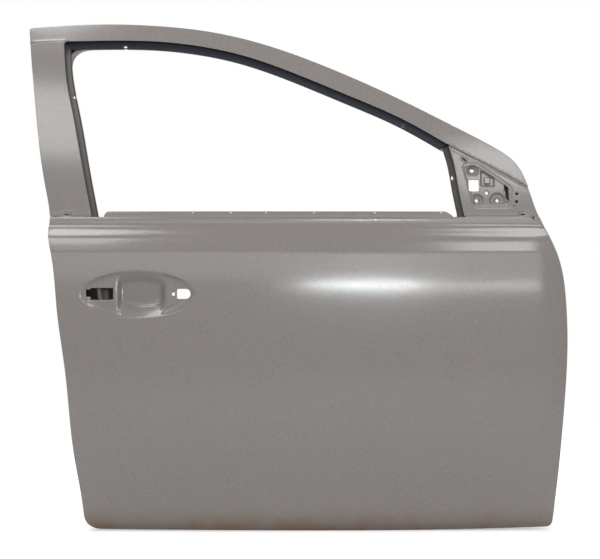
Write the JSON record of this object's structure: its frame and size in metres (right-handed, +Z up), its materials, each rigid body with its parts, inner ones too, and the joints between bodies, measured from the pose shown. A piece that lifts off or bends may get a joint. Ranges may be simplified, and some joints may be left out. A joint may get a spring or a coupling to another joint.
{
  "type": "car door shell",
  "caption": "Bare pressed steel front door of a passenger car, right-hand side, with hemmed skin, window frame, glass channels, mirror sail, handle recess and inner panel.",
  "frame": {"origin": "centre of the upper hinge's mounting face, on the outside of the inner panel's flat hinge wall", "axes": "+X from the latch side to the hinge side, towards the front of the car; +Y from the outer skin to the cabin; +Z up"},
  "size_m": [1.1673, 0.2628, 1.0997],
  "materials": {
    "primer": "satin",
    "channel_coat": "satin",
    "zinc_steel": "satin",
    "mastic": "matte"
  },
  "bodies": {
    "root": {"outer_panel": "primer", "inner_panel": "primer", "header_outer": "primer", "pillar_outer": "primer", "sail_panel": "primer", "header_channel": "channel_coat", "rear_channel": "channel_coat", "front_channel": "channel_coat", "rear_channel_bracket": "primer", "front_channel_bracket": "primer", "belt_reinforcement_outer": "channel_coat", "belt_reinforcement_inner": "zinc_steel", "upper_hinge_reinforcement": "zinc_steel", "upper_hinge_nut_plate": "zinc_steel", "lower_hinge_reinforcement": "zinc_steel", "lower_hinge_nut_plate": "zinc_steel", "check_link_reinforcement": "zinc_steel", "latch_reinforcement": "zinc_steel", "impact_beam": "zinc_steel", "impact_beam_bracket_front": "zinc_steel", "impact_beam_bracket_rear": "zinc_steel", "anti_flutter_pad_1": "mastic", "anti_flutter_pad_2": "mastic", "anti_flutter_pad_3": "mastic", "anti_flutter_pad_4": "mastic", "mirror_reinforcement": "zinc_steel", "mirror_weld_nut_1": "zinc_steel", "mirror_weld_nut_2": "zinc_steel", "mirror_weld_nut_3": "zinc_steel", "handle_bracket_rear": "zinc_steel", "handle_bracket_front": "zinc_steel", "frame_corner_gusset": "zinc_steel", "trim_weld_nut_1": "zinc_steel", "trim_weld_nut_2": "zinc_steel", "trim_weld_nut_3": "zinc_steel", "trim_weld_nut_4": "zinc_steel"}
  },
  "joints": []
}
